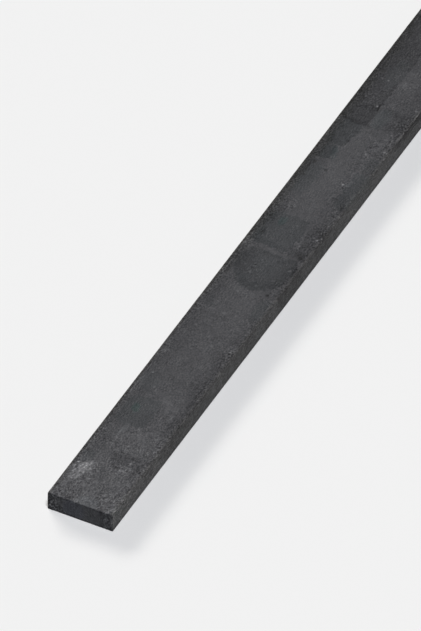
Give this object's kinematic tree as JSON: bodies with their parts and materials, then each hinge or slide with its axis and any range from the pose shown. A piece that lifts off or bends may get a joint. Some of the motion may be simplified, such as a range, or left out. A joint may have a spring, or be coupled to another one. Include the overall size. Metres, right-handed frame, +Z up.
{
  "type": "metal flat bar",
  "caption": "Straight hot-rolled steel flat bar with a plain rectangular section, tight rolled corners, dark mill scale and square sawn ends.",
  "frame": {"origin": "centre of the broad face the bar rests on", "axes": "+X along the bar in its rolling direction, +Y across its width, +Z up through its thickness"},
  "size_m": [1, 0.02, 0.006],
  "materials": {
    "black_steel": "matte"
  },
  "bodies": {
    "root": {"flat_bar": "black_steel"}
  },
  "joints": []
}
